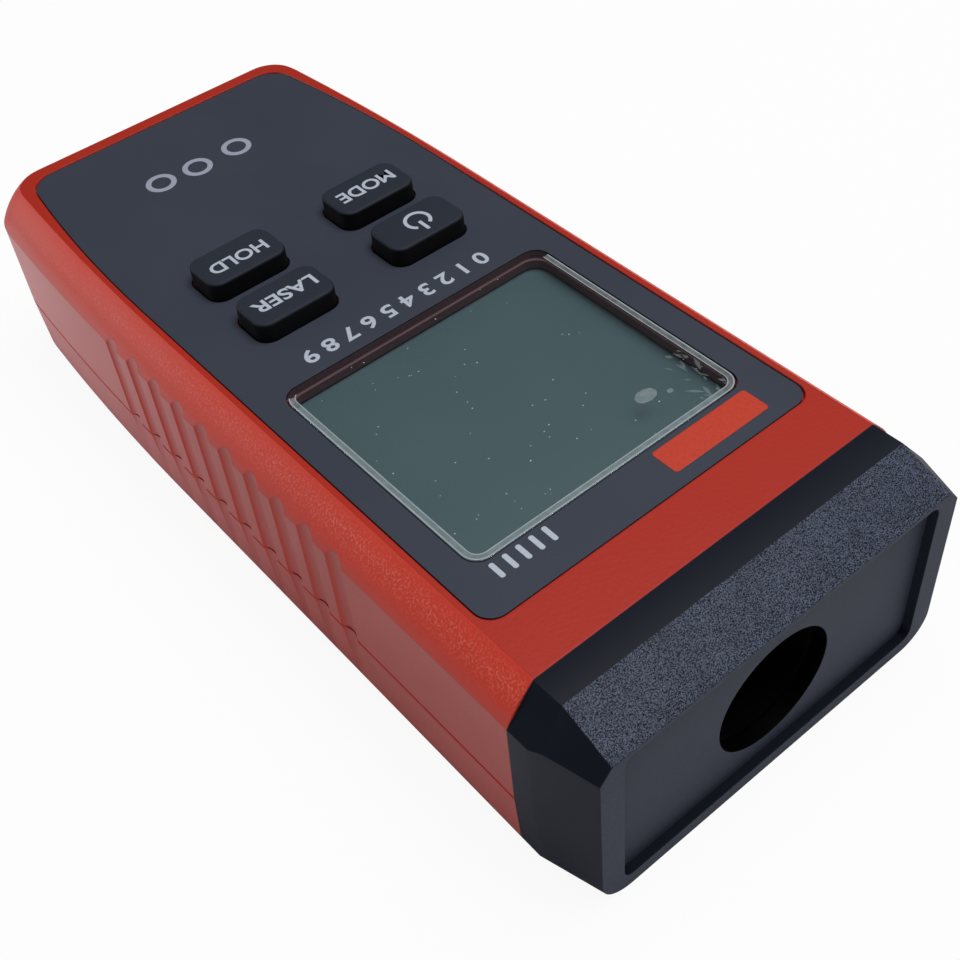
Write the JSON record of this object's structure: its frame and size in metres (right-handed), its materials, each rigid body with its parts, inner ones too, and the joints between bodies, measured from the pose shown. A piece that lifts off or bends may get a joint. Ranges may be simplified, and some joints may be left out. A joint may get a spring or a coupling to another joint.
{
  "type": "laser tachometer",
  "caption": "Handheld laser tachometer with a red two-shell case, black nose bezel, recessed display, four rubber-sprung keys, optics block and a sliding battery door.",
  "frame": {"origin": "Middle of the box's underside: the middle of the back, on its outer face.", "axes": "X across the width, Y along the body out of the nose, Z out of the display face."},
  "size_m": [0.06, 0.1366, 0.0327],
  "materials": {
    "red_plastic": "fine moulded grain, satin",
    "black_plastic": "fine moulded grain",
    "face_label": "satin printed film",
    "key_plastic": "satin black with light print",
    "clear_plastic": "clear moulded plastic",
    "black_rubber": "moulded silicone rubber",
    "carbon_rubber": "conductive rubber",
    "green_board": "solder-masked circuit board",
    "display_glass": "liquid crystal glass sandwich",
    "polarizer_film": "grey-green film",
    "black_foam": "foam strip",
    "white_plastic": "moulded white plastic",
    "zebra_rubber": "striped contact rubber",
    "led_resin": "diode package",
    "black_epoxy": "moulded epoxy",
    "tin_plate": "tin-plated steel",
    "component_ceramic": "small chip parts",
    "sleeve_plastic": "shrunk plastic sleeve",
    "dark_resin": "dark optical resin",
    "brass": "turned brass",
    "gold_plate": "gold-plated can",
    "zinc_steel": "zinc-plated screw",
    "black_steel": "blackened screw",
    "cell_sleeve": "plain sleeve with steel ends",
    "red_wire": "insulated lead",
    "black_wire": "insulated lead",
    "paper_label": "blank rating label"
  },
  "bodies": {
    "case": {"top_shell": "red_plastic", "bottom_shell": "red_plastic", "nose_bezel": "black_plastic", "face_plate": "face_label", "display_window": "clear_plastic", "keypad_mat": "black_rubber", "main_board": "green_board", "sensor_board": "green_board", "lcd_cell": "display_glass", "lcd_polarizer": "polarizer_film", "lcd_gasket": "black_foam", "lcd_frame": "white_plastic", "lcd_zebra_strip": "zebra_rubber", "light_guide": "clear_plastic", "backlight_leds": "led_resin", "controller_chip": "black_epoxy", "crystal": "tin_plate", "small_components": "component_ceramic", "capacitor": "sleeve_plastic", "sensor_header": "black_epoxy", "photodiode": "dark_resin", "optics_holder": "black_plastic", "condenser_lens": "clear_plastic", "laser_barrel": "brass", "laser_lens": "clear_plastic", "laser_diode": "gold_plate", "optics_screws": "zinc_steel", "case_screws": "black_steel", "board_screws": "zinc_steel", "battery_1": "cell_sleeve", "battery_2": "cell_sleeve", "battery_3": "cell_sleeve", "battery_springs": "tin_plate", "battery_contacts": "tin_plate", "battery_lead_red": "red_wire", "battery_lead_black": "black_wire", "back_label": "paper_label"},
    "key_power_body": {"key_power": "key_plastic", "web_power": "black_rubber", "pill_power": "carbon_rubber"},
    "key_mode_body": {"key_mode": "key_plastic", "web_mode": "black_rubber", "pill_mode": "carbon_rubber"},
    "key_hold_body": {"key_hold": "key_plastic", "web_hold": "black_rubber", "pill_hold": "carbon_rubber"},
    "key_laser_body": {"key_laser": "key_plastic", "web_laser": "black_rubber", "pill_laser": "carbon_rubber"},
    "battery_door_body": {"battery_door": "red_plastic"}
  },
  "joints": [
    {"name": "press_power", "type": "slide", "parent": "case", "child": "key_power_body", "axis": [0, 0, -1], "range_m": [0, 0.0009], "stiffness_N_per_m": 400, "springref_m": -0.0005, "deforming": ["web_power"]},
    {"name": "press_mode", "type": "slide", "parent": "case", "child": "key_mode_body", "axis": [0, 0, -1], "range_m": [0, 0.0009], "stiffness_N_per_m": 400, "springref_m": -0.0005, "deforming": ["web_mode"]},
    {"name": "press_hold", "type": "slide", "parent": "case", "child": "key_hold_body", "axis": [0, 0, -1], "range_m": [0, 0.0009], "stiffness_N_per_m": 400, "springref_m": -0.0005, "deforming": ["web_hold"]},
    {"name": "press_laser", "type": "slide", "parent": "case", "child": "key_laser_body", "axis": [0, 0, -1], "range_m": [0, 0.0009], "stiffness_N_per_m": 400, "springref_m": -0.0005, "deforming": ["web_laser"]},
    {"name": "slide_battery_door", "type": "slide", "parent": "case", "child": "battery_door_body", "axis": [0, -1, 0], "range_m": [0, 0.058]}
  ]
}
